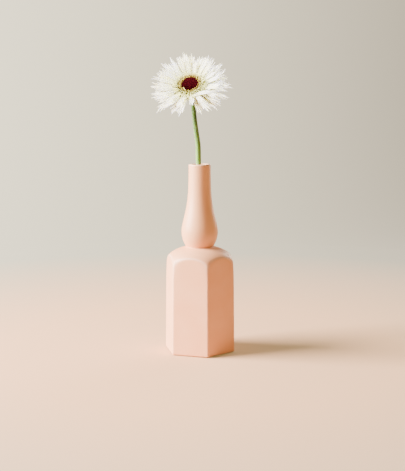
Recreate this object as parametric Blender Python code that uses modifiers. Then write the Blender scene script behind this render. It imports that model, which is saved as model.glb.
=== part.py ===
"""One cut gerbera daisy standing in a hexagonal bottle vase.

Units are metres and +Z is up. The origin is the centre of the vase's flat foot. Two of the vase's six
faces look along -Y and +Y, and the flower looks along -Y and upwards.

The vase is one slip-cast piece: a six-sided body whose shoulder is a turned dome, so that each face ends
in an arch, with a turned bulb and a slim neck above it. The stem stands on the vase's floor at the back
and leans on the mouth at the front. On its bent neck sits the flower head: a receptacle with green bracts
under it, three whorls of ray petals round its side, and three sorts of small florets on its top.
"""

import math
import random

import bmesh
import bpy
import numpy as np
from mathutils import Matrix, Vector

MM = 0.001

# Shared between pieces
CLEARANCE = 0.3 * MM  # gap left where one piece touches another

# Vase: body, shoulder, waist, bulb and neck, from the foot up
FOOT_FLAT_TO_FLAT = 81.0 * MM
FACE_LEAN = 1.1 * MM  # how far each face leans in by the height of the shoulder
BODY_HEIGHT = 110.5 * MM  # where the corners start to turn into the shoulder
SHOULDER_RISE = 25.7 * MM
SHOULDER_FULLNESS = 2.2  # exponent of the dome's curve: 2 is an ellipse
WAIST_RADIUS = 17.0 * MM
BULB_RISE = 19.8 * MM  # from the waist to the bulb's widest place
BULB_RADIUS = 23.2 * MM
NECK_SPREAD = 29.5 * MM  # how fast the bulb draws in to the neck
NECK_FALL = 1.7  # exponent of that curve
MOUTH_RADIUS = 14.0 * MM
VASE_HEIGHT = 240.0 * MM
WALL = 4.0 * MM
FLOOR = 5.0 * MM
LIP_ROUND = 1.4 * MM
CORNER_ROUND = 1.8 * MM

# Stem
STEM_RADIUS = 3.1 * MM
STEM_TOP_RADIUS = 2.25 * MM
TAPER_FROM = 55.0 * MM  # distances from the top end between which the stem draws in
TAPER_TO = 18.0 * MM
FOOT_OF_STEM = Vector((-1.5 * MM, 14.0 * MM, 0.0))  # where the stem stands on the vase's floor
REST_HEADING = math.radians(-85.0)  # side of the mouth that the stem leans on
STEM_ABOVE_MOUTH = [  # route above the mouth, from the place where it leans on it
    Vector((0.05 * MM, -1.9 * MM, 24.0 * MM)),
    Vector((-1.4 * MM, -3.2 * MM, 37.0 * MM)),
    Vector((-2.8 * MM, -4.4 * MM, 49.5 * MM)),
    Vector((-3.9 * MM, -5.6 * MM, 62.0 * MM)),
    Vector((-4.2 * MM, -7.5 * MM, 73.0 * MM)),
    Vector((-3.4 * MM, -10.2 * MM, 83.0 * MM)),
]
STRAIGHT_NECK = 9.0 * MM  # last stretch, which runs square into the flower head

# Flower head, in its own frame: +Z out of the flower's face, +Y up the face
FACE_HEADING = math.radians(-86.0)
FACE_RISE = math.radians(43.0)
RECEPTACLE_RADIUS = 14.5 * MM
RECEPTACLE_SIDE = 6.8 * MM  # height of the side that carries the petals
RECEPTACLE_CUP = 6.2 * MM  # height of the rounded underside
RIM_BREAK = 0.5 * MM  # bevel round the top
NECK_SHOULDER = 1.75 * MM  # how far the underside stands out round the top of the stem

DISC_SIDE = 4.2 * MM
DISC_CROWN = 2.8 * MM
OPEN_RING_WIDTH = 2.0 * MM
OPEN_RING_HEIGHT = 6.0 * MM
TRANS_RING_FOOT = 1.0 * MM  # width that they stand on, at the receptacle's edge
TRANS_RING_REACH = 5.2 * MM  # how far the trans florets arch out past the receptacle
TRANS_RING_HEIGHT = 7.0 * MM

PETAL_THICKNESS = 0.6 * MM
PETAL_BASE_SHARE = 0.42  # width at the base over the full width
PETAL_TIP_SHARE = 0.15
PETAL_WIDEST = 0.5  # share of the length where the petal reaches its full width
PETAL_CUPPING = 0.10  # depth of the trough over the width
FACE_SAG = math.radians(6.0)  # petals lie back by this at the bottom and stand up by it at the top
STEM_SIDE = math.radians(-88.0)  # bearing in the face where the petals part in front of the stem
OUTER_COUNT = 15
MIDDLE_COUNT = OUTER_COUNT - 1  # each stands between two outer petals
INNER_COUNT = 16
OUTER_PARTING = math.radians(24.0)
MIDDLE_PARTING = OUTER_PARTING + (2 * math.pi - OUTER_PARTING) / OUTER_COUNT
PETAL_BEND = math.radians(14.0)
WHORLS = [  # name, petals, length, width, angle above the face, width of the parting
    ("outer_petal", OUTER_COUNT, 36.0 * MM, 4.8 * MM, math.radians(14.0), OUTER_PARTING),
    ("middle_petal", MIDDLE_COUNT, 34.0 * MM, 4.6 * MM, math.radians(21.0), MIDDLE_PARTING),
    ("inner_petal", INNER_COUNT, 29.0 * MM, 4.0 * MM, math.radians(29.0), 0.0),
]
PETAL_SEED = 11
BEARING_SCATTER = math.radians(2.5)
ANGLE_SCATTER = math.radians(1.8)
LENGTH_SCATTER = 0.07
SWEEP_SCATTER = 0.05  # sideways, over the length

BRACT_COUNT = 9
BRACT_WIDTH = 4.0 * MM
BRACT_TIP_SHARE = 0.12
BRACT_THICKNESS = 0.6 * MM
BRACT_START = math.radians(68.0)  # angle round the receptacle's cup, 90 degrees being its lowest place
BRACT_END = math.radians(12.0)

# Fineness of the solids
OUTSIDE_STEPS = 48
INSIDE_STEPS = 32
HEAD_STEPS = 32
LIP_POINTS = 4
NECK_POINTS = 12
BULB_POINTS = 6
SHOULDER_POINTS = 10
CUP_POINTS = 7
CROWN_POINTS = 6
STEM_POINTS = 27
CROWDING = 1.6  # 1 spaces the stem's points evenly
SPAN_POINTS = 24  # trial points between two places on the stem's route


def clear_scene():
    """Removes whatever the scene holds."""
    for obj in list(bpy.data.objects):
        bpy.data.objects.remove(obj)


def new_collection(name):
    """A collection linked into the scene."""
    collection = bpy.data.collections.new(name)
    bpy.context.scene.collection.children.link(collection)
    return collection


def linear(channel):
    """One sRGB channel from 0 to 255 as a linear value."""
    share = channel / 255
    return share / 12.92 if share <= 0.04045 else ((share + 0.055) / 1.055) ** 2.4


def new_material(name, colour, roughness):
    """A Principled material of an sRGB hex colour; nothing here is metal."""
    material = bpy.data.materials.new(name)
    material.use_nodes = True
    shader = material.node_tree.nodes["Principled BSDF"]
    channels = [linear(int(colour[i : i + 2], 16)) for i in (0, 2, 4)]
    shader.inputs["Base Color"].default_value = (*channels, 1.0)
    shader.inputs["Roughness"].default_value = roughness
    shader.inputs["Metallic"].default_value = 0.0
    return material


def new_object(name, data, collection, material=None):
    """An object in a collection, with its material if it has one."""
    obj = bpy.data.objects.new(name, data)
    collection.objects.link(obj)
    if material is not None:
        data.materials.append(material)
    return obj


def make_helper(obj):
    """Marks a cutter or form that isn't a piece of the object."""
    obj.hide_render = True
    obj.display_type = "WIRE"


def add_boolean(obj, operation, other):
    """An exact Boolean with another mesh object."""
    modifier = obj.modifiers.new(operation.lower(), "BOOLEAN")
    modifier.operation = operation
    modifier.solver = "EXACT"
    modifier.object = other


def turned(name, profile, steps, collection, material=None, is_ring=False):
    """A closed turned shape. The profile is (radius, height) points, from the top down its outer side.

    A ring's profile also runs back up the hole to where it began.
    """
    mesh = bpy.data.meshes.new(name)
    points = [(radius, 0.0, height) for radius, height in profile]
    edges = [(i, i + 1) for i in range(len(points) - 1)]
    if is_ring:
        edges.append((len(points) - 1, 0))
    mesh.from_pydata(points, edges, [])
    obj = new_object(name, mesh, collection, material)
    screw = obj.modifiers.new("turn", "SCREW")
    screw.axis = "Z"
    screw.steps = steps
    screw.render_steps = steps
    screw.use_merge_vertices = True
    screw.merge_threshold = 0.01 * MM
    screw.use_smooth_shade = True
    return obj


def arc_points(centre, across, up, start, end, count):
    """Points of an ellipse's arc about a centre, at even angles from start to end in degrees."""
    angles = np.radians(np.linspace(start, end, count))
    return [(centre[0] + across * math.cos(a), centre[1] + up * math.sin(a)) for a in angles]


# ---------------------------------------------------------------- vase


def apothem_at(height, inset):
    """Distance from the axis to a face of the body at this height, less the inset."""
    return FOOT_FLAT_TO_FLAT / 2 - FACE_LEAN * height / BODY_HEIGHT - inset


def dome_radius(inset):
    """Radius of the turned shoulder where it meets the corners."""
    return apothem_at(BODY_HEIGHT, inset) / math.cos(math.pi / 6)


def shoulder_height(radius, inset):
    """Height of the dome at a radius: a superellipse that is upright at the corners."""
    share = (radius / dome_radius(inset)) ** SHOULDER_FULLNESS
    return BODY_HEIGHT + (SHOULDER_RISE - inset) * (1 - share) ** (1 / SHOULDER_FULLNESS)


def bulb_height():
    """Height of the bulb's widest place."""
    return shoulder_height(WAIST_RADIUS, 0.0) + BULB_RISE


def neck_points(top, inset):
    """The neck from a height down to the bulb's widest place: a bell curve from the mouth to the bulb."""
    widest = bulb_height()
    heights = np.linspace(top, widest, NECK_POINTS)
    fall = np.exp(-(((heights - widest) / NECK_SPREAD) ** NECK_FALL))
    radii = MOUTH_RADIUS - inset + (BULB_RADIUS - MOUTH_RADIUS) * fall
    return list(zip(radii, heights))


def bulb_points(inset):
    """The underside of the bulb down to the waist: an arc of an ellipse."""
    waist = WAIST_RADIUS - inset
    bulb = BULB_RADIUS - inset
    rise = bulb_height() - shoulder_height(waist, inset)
    end = math.acos(waist / bulb)
    depth = rise / math.sin(end)
    return arc_points((0.0, bulb_height()), bulb, depth, 0, -math.degrees(end), BULB_POINTS)[1:]


def shoulder_points(inset):
    """The dome from the waist out to the corners."""
    waist = WAIST_RADIUS - inset
    corner = dome_radius(inset)
    radii = waist + (corner - waist) * np.sin(np.linspace(0, math.pi / 2, SHOULDER_POINTS))
    return [(radius, shoulder_height(radius, inset)) for radius in radii[1:]]


def outside_profile():
    """The vase's turned outside, from the lip to below the foot."""
    lip_centre = (MOUTH_RADIUS - LIP_ROUND, VASE_HEIGHT - LIP_ROUND)
    lip = arc_points(lip_centre, LIP_ROUND, LIP_ROUND, 90, 0, LIP_POINTS)
    side = neck_points(VASE_HEIGHT - LIP_ROUND, 0.0)[1:] + bulb_points(0.0) + shoulder_points(0.0)
    # From the shoulder down, the turned shape stands clear of the prism that it is cut with.
    below = -2 * CORNER_ROUND
    reach = FOOT_FLAT_TO_FLAT
    return [(0.0, VASE_HEIGHT)] + lip + side + [(reach, BODY_HEIGHT), (reach, below), (0.0, below)]


def inside_profile():
    """The vase's turned inside, from above the mouth to below the floor."""
    bore = MOUTH_RADIUS - WALL
    above = VASE_HEIGHT + 2 * LIP_ROUND
    flare_centre = (bore + LIP_ROUND, VASE_HEIGHT - LIP_ROUND)
    flare = arc_points(flare_centre, LIP_ROUND, LIP_ROUND, 90, 180, LIP_POINTS)
    side = neck_points(VASE_HEIGHT - LIP_ROUND, WALL)[1:] + bulb_points(WALL) + shoulder_points(WALL)
    reach = FOOT_FLAT_TO_FLAT
    top = [(0.0, above), (bore + LIP_ROUND, above)]
    return top + flare + side + [(reach, BODY_HEIGHT), (reach, 0.0), (0.0, 0.0)]


def hexagonal_prism(name, low, high, inset, rounding, collection, material=None):
    """The six-sided body between two heights, with its faces leaning in and its edges rounded."""
    mesh = bpy.data.meshes.new(name)
    shape = bmesh.new()
    across_corners = 1 / math.cos(math.pi / 6)
    bmesh.ops.create_cone(
        shape,
        cap_ends=True,
        segments=6,
        radius1=apothem_at(low, inset) * across_corners,
        radius2=apothem_at(high, inset) * across_corners,
        depth=high - low,
    )
    turn = Matrix.Rotation(math.pi / 6, 4, "Z")
    bmesh.ops.transform(shape, matrix=Matrix.Translation((0, 0, (low + high) / 2)) @ turn, verts=shape.verts)
    shape.to_mesh(mesh)
    shape.free()
    obj = new_object(name, mesh, collection, material)
    bevel = obj.modifiers.new("rounding", "BEVEL")
    bevel.width = rounding
    bevel.segments = 3
    bevel.limit_method = "ANGLE"
    bevel.angle_limit = math.radians(30)
    return obj


def build_vase(collection, cutters, glaze):
    """The vase: the prism kept inside the turned outside, then hollowed by the same shapes set in."""
    above = VASE_HEIGHT + 4 * CORNER_ROUND
    outside = turned("vase_turned_outside", outside_profile(), OUTSIDE_STEPS, cutters)
    inside = turned("vase_turned_inside", inside_profile(), INSIDE_STEPS, cutters)
    cavity = hexagonal_prism("vase_cavity", FLOOR, above, WALL, CORNER_ROUND, cutters)
    add_boolean(cavity, "INTERSECT", inside)
    for helper in (outside, inside, cavity):
        make_helper(helper)
    vase = hexagonal_prism("vase", 0.0, above, 0.0, CORNER_ROUND, collection, glaze)
    add_boolean(vase, "INTERSECT", outside)
    add_boolean(vase, "DIFFERENCE", cavity)
    return vase


# ---------------------------------------------------------------- stem


def leaning_place():
    """Centre of the stem where it leans on the mouth."""
    reach = MOUTH_RADIUS - WALL - STEM_RADIUS - CLEARANCE
    across = Vector((math.cos(REST_HEADING), math.sin(REST_HEADING), 0.0)) * reach
    return across + Vector((0.0, 0.0, VASE_HEIGHT))


def standing_place():
    """Centre of the stem's cut end, raised so that its lower edge clears the floor."""
    mouth = leaning_place()
    sideways = Vector((mouth.x - FOOT_OF_STEM.x, mouth.y - FOOT_OF_STEM.y))
    lean = math.atan2(sideways.length, VASE_HEIGHT - FLOOR)
    return FOOT_OF_STEM + Vector((0.0, 0.0, FLOOR + CLEARANCE + STEM_RADIUS * math.sin(lean)))


def stem_top():
    """Centre of the stem's top end, under the receptacle."""
    return leaning_place() + STEM_ABOVE_MOUTH[-1] + facing() * STRAIGHT_NECK


def curve_through(points, count):
    """Points of a Catmull-Rom curve through the given ones, and how far each one is from the end."""
    guides = [points[0] * 2 - points[1], *points, points[-1] * 2 - points[-2]]
    fine = []
    for a, b, c, d in zip(guides, guides[1:], guides[2:], guides[3:]):
        for t in np.linspace(0, 1, SPAN_POINTS, endpoint=False):
            bend = (2 * a - 5 * b + 4 * c - d) * t**2 + (3 * b - 3 * c + d - a) * t**3
            fine.append((2 * b + (c - a) * t + bend) / 2)
    fine.append(points[-1])
    fine = np.array([tuple(p) for p in fine])
    steps = np.linalg.norm(np.diff(fine, axis=0), axis=1)
    along = np.concatenate([[0], np.cumsum(steps)])
    # The points crowd towards the end, where the curve bends.
    wanted = along[-1] * (1 - (1 - np.linspace(0, 1, count)) ** CROWDING)
    points = [Vector([np.interp(s, along, fine[:, k]) for k in range(3)]) for s in wanted]
    return points, along[-1] - wanted


def build_stem(collection, green):
    """The stem: a tube along its route, a little slimmer at the top."""
    foot, mouth = standing_place(), leaning_place()
    halfway = (foot + mouth) / 2
    route = [foot, halfway, mouth] + [mouth + step for step in STEM_ABOVE_MOUTH] + [stem_top()]
    points, distances_left = curve_through(route, STEM_POINTS)
    curve = bpy.data.curves.new("stem", "CURVE")
    curve.dimensions = "3D"
    curve.bevel_depth = STEM_RADIUS
    curve.bevel_resolution = 3
    curve.use_fill_caps = True
    spline = curve.splines.new("POLY")
    spline.points.add(len(points) - 1)
    slimmest = STEM_TOP_RADIUS / STEM_RADIUS
    for place, point, left in zip(spline.points, points, distances_left):
        place.co = (*point, 1.0)
        place.radius = np.interp(left, [TAPER_TO, TAPER_FROM], [slimmest, 1.0])
    return new_object("stem", curve, collection, green)


# ---------------------------------------------------------------- flower head


def facing():
    """The way that the flower's face looks."""
    level = Vector((math.cos(FACE_HEADING), math.sin(FACE_HEADING), 0.0))
    return level * math.cos(FACE_RISE) + Vector((0.0, 0.0, math.sin(FACE_RISE)))


def face_frame():
    """The flower head's frame: origin at the centre of the receptacle's top, +Z out of the face."""
    out = facing()
    right = Vector((-math.sin(FACE_HEADING), math.cos(FACE_HEADING), 0.0))
    up = out.cross(right)
    turn = Matrix((right, up, out)).transposed().to_4x4()
    height = RECEPTACLE_SIDE + RECEPTACLE_CUP + CLEARANCE
    return Matrix.Translation(stem_top() + out * height) @ turn


def build_receptacle(collection, head, green):
    """The solid base of the flower head: a drum on a rounded cup that narrows to the stem."""
    neck = STEM_TOP_RADIUS + NECK_SHOULDER
    top = [(0.0, 0.0), (RECEPTACLE_RADIUS - RIM_BREAK, 0.0), (RECEPTACLE_RADIUS, -RIM_BREAK)]
    across = RECEPTACLE_RADIUS - neck
    cup = arc_points((neck, -RECEPTACLE_SIDE), across, RECEPTACLE_CUP, 0, -90, CUP_POINTS)
    profile = top + cup + [(0.0, -RECEPTACLE_SIDE - RECEPTACLE_CUP)]
    receptacle = turned("receptacle", profile, HEAD_STEPS, collection, green)
    receptacle.parent = head
    return receptacle


def build_florets(collection, head, materials):
    """The small florets: buds in the middle, open ones round them, trans florets at the edge."""
    low = CLEARANCE
    side = low + DISC_SIDE
    outer = RECEPTACLE_RADIUS - TRANS_RING_FOOT - CLEARANCE
    inner = outer - OPEN_RING_WIDTH
    disc = inner - CLEARANCE
    dome = arc_points((0.0, side), disc, DISC_CROWN, 90, 0, CROWN_POINTS)
    buds = turned("disc_buds", dome + [(disc, low), (0.0, low)], HEAD_STEPS, collection, materials["buds"])

    half = OPEN_RING_WIDTH / 2
    crown = arc_points((inner + half, low + OPEN_RING_HEIGHT - half), half, half, 180, 0, CROWN_POINTS)
    profile = crown + [(outer, low), (inner, low)]
    opened = turned("open_florets", profile, HEAD_STEPS, collection, materials["anthers"], is_ring=True)

    # The trans florets arch out from the receptacle's edge, over the feet of the petals.
    inner = outer + CLEARANCE
    middle = low + TRANS_RING_HEIGHT / 2
    across = RECEPTACLE_RADIUS + TRANS_RING_REACH - inner
    arch = arc_points((inner, middle), across, TRANS_RING_HEIGHT / 2, 90, 0, CROWN_POINTS)
    profile = arch + [(RECEPTACLE_RADIUS, low), (inner, low)]
    trans = turned("trans_florets", profile, HEAD_STEPS, collection, materials["cream"], is_ring=True)
    for florets in (buds, opened, trans):
        florets.parent = head


def petal_width(along):
    """Width at a share of the length, over the full width: widens evenly, then draws to a point."""
    grown = min(along / PETAL_WIDEST, 1.0)
    spread = PETAL_BASE_SHARE + (1 - PETAL_BASE_SHARE) * grown * grown * (3 - 2 * grown)
    return spread * (1 - (1 - PETAL_TIP_SHARE) * along**4)


def petal_mesh(name, length, width, sideways):
    """A strap along +X on a grid: an even bend back, a sideways sweep, and a shallow trough across."""
    mesh = bpy.data.meshes.new(name)
    shape = bmesh.new()
    bmesh.ops.create_grid(shape, x_segments=8, y_segments=2, size=1.0)
    for vertex in shape.verts:
        along = (vertex.co.x + 1) / 2
        across = vertex.co.y
        turn = PETAL_BEND * along
        radius = length / PETAL_BEND
        half = width * petal_width(along) / 2
        lift = PETAL_CUPPING * width * across * across * petal_width(along)
        vertex.co = Vector(
            (
                radius * math.sin(turn) + lift * math.sin(turn),
                half * across + sideways * length * along**2,
                -radius * (1 - math.cos(turn)) + lift * math.cos(turn),
            )
        )
    shape.to_mesh(mesh)
    shape.free()
    return mesh


def add_thickness(obj, thickness):
    """Solidify with the surface in the middle of the thickness."""
    solid = obj.modifiers.new("thickness", "SOLIDIFY")
    solid.thickness = thickness
    solid.offset = 0.0


def build_petals(collection, head, white):
    """Three whorls of ray petals, each petal starting at the side of the receptacle."""
    chance = random.Random(PETAL_SEED)
    start = RECEPTACLE_RADIUS + CLEARANCE
    spacing = RECEPTACLE_SIDE / (len(WHORLS) + 0.5)
    for row, (name, count, length, width, angle, parting) in enumerate(WHORLS):
        height = -RECEPTACLE_SIDE + spacing * (row + 0.75)
        step = (2 * math.pi - parting) / count
        for i in range(count):
            bearing = STEM_SIDE + parting / 2 + step * (i + 0.5)
            bearing += chance.uniform(-BEARING_SCATTER, BEARING_SCATTER)
            rise = angle + FACE_SAG * math.sin(bearing) + chance.uniform(-ANGLE_SCATTER, ANGLE_SCATTER)
            long = length * (1 + chance.uniform(-LENGTH_SCATTER, LENGTH_SCATTER))
            full_name = f"{name}_{i + 1:02d}"
            mesh = petal_mesh(full_name, long, width, chance.uniform(-SWEEP_SCATTER, SWEEP_SCATTER))
            petal = new_object(full_name, mesh, collection, white)
            petal.parent = head
            clear = start + PETAL_THICKNESS / 2 * math.sin(abs(rise))
            petal.matrix_local = (
                Matrix.Rotation(bearing, 4, "Z")
                @ Matrix.Translation((clear, 0.0, height))
                @ Matrix.Rotation(-rise, 4, "Y")
            )
            add_thickness(petal, PETAL_THICKNESS)


def bract_mesh(name):
    """A narrow leaf that lies along the receptacle's cup, in the plane of +X and +Z."""
    mesh = bpy.data.meshes.new(name)
    shape = bmesh.new()
    bmesh.ops.create_grid(shape, x_segments=5, y_segments=2, size=1.0)
    stand_off = CLEARANCE + BRACT_THICKNESS / 2
    neck = STEM_TOP_RADIUS + NECK_SHOULDER
    across = RECEPTACLE_RADIUS - neck + stand_off
    down = RECEPTACLE_CUP + stand_off
    for vertex in shape.verts:
        along = (vertex.co.x + 1) / 2
        angle = BRACT_START + (BRACT_END - BRACT_START) * along
        half = BRACT_WIDTH / 2 * (1 - (1 - BRACT_TIP_SHARE) * along**2)
        vertex.co = Vector(
            (
                neck + across * math.cos(angle),
                half * vertex.co.y,
                -RECEPTACLE_SIDE - down * math.sin(angle),
            )
        )
    shape.to_mesh(mesh)
    shape.free()
    return mesh


def build_bracts(collection, head, green):
    """The ring of green bracts under the head, which share one mesh."""
    mesh = bract_mesh("bract")
    mesh.materials.append(green)
    for i in range(BRACT_COUNT):
        bract = bpy.data.objects.new(f"bract_{i + 1:02d}", mesh)
        collection.objects.link(bract)
        bract.parent = head
        bract.rotation_euler = (0.0, 0.0, 2 * math.pi * i / BRACT_COUNT)
        add_thickness(bract, BRACT_THICKNESS)


def main():
    """Builds every piece."""
    clear_scene()
    collection = new_collection("daisy_in_vase")
    cutters = new_collection("cutters")
    cutters.hide_render = True
    florets = {
        "buds": new_material("disc_bud_maroon", "4e0f12", 0.6),
        "anthers": new_material("anther_gold", "c9a866", 0.7),
        "cream": new_material("trans_floret_cream", "e3dec2", 0.6),
    }
    build_vase(collection, cutters, new_material("blush_glaze", "eccbb9", 0.35))
    build_stem(collection, new_material("stem_green", "8c9a3a", 0.5))
    head = new_object("flower_head", None, collection)
    head.matrix_world = face_frame()
    bract_green = new_material("bract_green", "6f7f35", 0.6)
    build_receptacle(collection, head, bract_green)
    build_florets(collection, head, florets)
    build_petals(collection, head, new_material("petal_white", "f2f0e8", 0.55))
    build_bracts(collection, head, bract_green)


main()
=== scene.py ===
"""Looks of a cut gerbera daisy in a hexagonal bottle vase.

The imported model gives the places. Each of its solids is replaced here by a finer piece of the same size: the
vase by one smooth glazed surface, the plain petal straps by fringed rays, and the three rings on the flower's
disc by single florets. All of it is in metres, in the model's own frame, with the vase's foot at the origin.
"""

import logging
import math
from dataclasses import astuple, dataclass, field
from enum import Enum
from typing import Any, Iterable

import bpy
import numpy as np
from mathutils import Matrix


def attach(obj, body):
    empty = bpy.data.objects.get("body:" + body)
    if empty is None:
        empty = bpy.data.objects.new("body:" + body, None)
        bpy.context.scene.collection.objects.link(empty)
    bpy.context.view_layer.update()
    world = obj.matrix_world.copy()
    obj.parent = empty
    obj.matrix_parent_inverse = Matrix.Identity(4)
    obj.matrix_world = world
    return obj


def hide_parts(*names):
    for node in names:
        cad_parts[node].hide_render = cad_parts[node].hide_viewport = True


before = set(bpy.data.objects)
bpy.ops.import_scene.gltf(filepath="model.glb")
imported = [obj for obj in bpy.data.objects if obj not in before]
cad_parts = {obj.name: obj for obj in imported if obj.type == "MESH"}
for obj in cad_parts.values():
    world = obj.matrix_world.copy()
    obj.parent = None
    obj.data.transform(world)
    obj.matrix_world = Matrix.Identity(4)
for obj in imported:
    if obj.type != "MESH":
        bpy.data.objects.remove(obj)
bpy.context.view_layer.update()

MM = 0.001
DEG = math.pi / 180

log = logging.getLogger("gerbera")

Marks = tuple[tuple[float, float, float], ...]
Widths = tuple[tuple[float, ...], tuple[float, ...]]


class Slot(Enum):
    """The record's material slots."""

    GLAZE = "glaze"
    STEM = "stem_green"
    BRACT = "bract_green"
    PETAL = "petal_white"
    BUD = "bud_maroon"
    ANTHER = "anther_gold"
    CREAM = "floret_cream"


class Whorl(Enum):
    """The three whorls of rays, by the name of their solids, from the outside in."""

    OUTER = "outer_petal"
    MIDDLE = "middle_petal"
    INNER = "inner_petal"


# ---------------------------------------------------------------- meshes


@dataclass
class Surface:
    """Points and faces of a piece, with named values at its points.

    Attributes:
        points: (n, 3) array of places.
        faces: arrays of point numbers, each (count, corners), one array for each number of corners.
        values: name to (n,) array, which the materials read as attributes.
    """

    points: np.ndarray
    faces: list[np.ndarray]
    values: dict[str, np.ndarray] = field(default_factory=dict)


def tube_faces(rows: int, columns: int) -> list[np.ndarray]:
    """Faces of a closed tube: a grid whose columns run round it, and a flat cap at each end.

    Args:
        rows: number of rings.
        columns: number of points on a ring.

    Returns:
        The sides as quads, and the two caps as faces with as many corners as a ring has points.
    """
    row = np.arange(rows - 1)[:, None] * columns
    here = np.arange(columns)[None, :]
    after = (here + 1) % columns
    sides = np.stack([row + here, row + after, row + columns + after, row + columns + here], -1)
    ring = np.arange(columns)
    return [sides.reshape(-1, 4), ring[::-1][None], (ring + (rows - 1) * columns)[None]]


def repeated_faces(faces: list[np.ndarray], stride: int, copies: int) -> list[np.ndarray]:
    """The faces of one shape repeated for a row of copies.

    Args:
        faces: the faces of one shape.
        stride: number of points in one shape.
        copies: number of copies.

    Returns:
        The faces of all copies, whose points follow each other.
    """
    first = np.arange(copies) * stride
    return [(f[None] + first[:, None, None]).reshape(-1, f.shape[1]) for f in faces]


def joined(surfaces: list[Surface]) -> Surface:
    """Several surfaces as one, each value kept.

    Args:
        surfaces: surfaces that carry the same values.

    Returns:
        One surface.
    """
    starts = np.cumsum([0] + [len(s.points) for s in surfaces[:-1]])
    faces = [f + start for s, start in zip(surfaces, starts) for f in s.faces]
    values = {k: np.concatenate([s.values[k] for s in surfaces]) for k in surfaces[0].values}
    return Surface(np.concatenate([s.points for s in surfaces]), faces, values)


def add_piece(name: str, surface: Surface, material: bpy.types.Material,
              node: str | None = None) -> bpy.types.Object:
    """Makes a surface an object that rides on the model's body.

    Args:
        name: the piece's name.
        surface: its points, faces and values.
        material: its material.
        node: the solid that it replaces, if there is one.

    Returns:
        The new object.
    """
    mesh = bpy.data.meshes.new(name)
    corners = np.concatenate([f.ravel() for f in surface.faces]).astype(np.int32)
    sizes = np.concatenate([np.full(len(f), f.shape[1]) for f in surface.faces])
    mesh.vertices.add(len(surface.points))
    mesh.vertices.foreach_set("co", surface.points.astype(np.float32).ravel())
    mesh.loops.add(len(corners))
    mesh.loops.foreach_set("vertex_index", corners)
    mesh.polygons.add(len(sizes))
    mesh.polygons.foreach_set("loop_start", np.concatenate([[0], np.cumsum(sizes)[:-1]]).astype(np.int32))
    mesh.update(calc_edges=True)
    mesh.shade_smooth()
    for key, value in surface.values.items():
        attribute = mesh.attributes.new(key, "FLOAT", "POINT")
        attribute.data.foreach_set("value", value.astype(np.float32).ravel())
    mesh.materials.append(material)
    piece = bpy.data.objects.new(name, mesh)
    bpy.context.scene.collection.objects.link(piece)
    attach(piece, "root")
    if node:
        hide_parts(node)
    log.info("%s: %d points, %d faces", name, len(surface.points), len(sizes))
    return piece


def smoothstep(low: float, high: float, x: np.ndarray) -> np.ndarray:
    """0 below low, 1 above high, and an S-curve between them."""
    t = np.clip((x - low) / (high - low), 0, 1)
    return t * t * (3 - 2 * t)


def bell(offset: np.ndarray | float, spread: float) -> np.ndarray | float:
    """A bell curve: one where the offset is zero, and 1/e where it is the spread."""
    return np.exp(-((offset / spread) ** 2))


def turn_between(first: float, second: float) -> float:
    """The angle from the second bearing to the first, up to half a turn either way."""
    return math.remainder(first - second, 2 * math.pi)


def marked(bearing: float, marks: Marks) -> float:
    """Sum of bell curves round the head, each with its bearing and spread in degrees and its height."""
    return sum(most * bell(turn_between(bearing, at * DEG), spread * DEG) for at, spread, most in marks)


def around(radius: np.ndarray, bearing: np.ndarray, height: np.ndarray | float) -> np.ndarray:
    """Places from radii, bearings and heights."""
    level = radius * np.cos(bearing)
    return np.stack([level, radius * np.sin(bearing), height + 0 * level], -1)


def flat_section(inner: float) -> tuple[np.ndarray, np.ndarray]:
    """A flat strap's section of six points: its two edges, and two points above and two below between them.

    Args:
        inner: share of the half-width where the points between the edges lie.

    Returns:
        The points' places across it and their heights over its middle, both from -1 to 1.
    """
    return np.array([-1.0, -inner, inner, 1.0, inner, -inner]), np.array([0.0, 1.0, 1.0, 0.0, -1.0, -1.0])


# ---------------------------------------------------------------- materials


def linear(colour: str) -> tuple[float, float, float, float]:
    """An sRGB hex colour as linear red, green, blue and alpha.

    Args:
        colour: six hex digits after a hash.

    Returns:
        The colour as shader nodes take it.
    """
    channels = np.array([int(colour[i : i + 2], 16) for i in (1, 3, 5)]) / 255
    low, high = channels / 12.92, ((channels + 0.055) / 1.055) ** 2.4
    return (*(float(c) for c in np.where(channels <= 0.04045, low, high)), 1.0)


def add_node(tree: bpy.types.NodeTree, kind: str, given: dict[Any, Any] | None = None) -> bpy.types.Node:
    """Adds a shader node with its settings and links.

    Args:
        tree: the material's node tree.
        kind: the node's type name.
        given: properties by name, and inputs by name or number. An input takes a socket that feeds it, a hex
            colour, or another value.

    Returns:
        The new node.
    """
    node = tree.nodes.new(kind)
    for key, value in (given or {}).items():
        if isinstance(value, bpy.types.NodeSocket):
            tree.links.new(value, node.inputs[key])
        elif isinstance(key, int) or key in node.inputs:
            node.inputs[key].default_value = linear(value) if isinstance(value, str) else value
        else:
            setattr(node, key, value)
    return node


def layered(tree: bpy.types.NodeTree, colour: Any,
            layers: Iterable[tuple[bpy.types.NodeSocket, float, float, float, Any]]) -> Any:
    """Lays colours over each other, each where a pattern or a value brings it out.

    A layer's share is 0 where its driver is at the first value, rises evenly, and is greatest at the second.

    Args:
        tree: the material's node tree.
        colour: the lowest colour, a hex colour or a socket.
        layers: for each layer its driver, the driver's two values, the layer's greatest share and its colour.

    Returns:
        The socket with the finished colour.
    """
    for driver, low, high, most, over in layers:
        span = {"Value": driver, "From Min": low, "From Max": high, "To Max": most}
        share = add_node(tree, "ShaderNodeMapRange", span).outputs[0]
        pair = {"data_type": "RGBA", 0: share, 6: colour, 7: over}
        colour = add_node(tree, "ShaderNodeMix", pair).outputs[2]
    return colour


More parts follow.
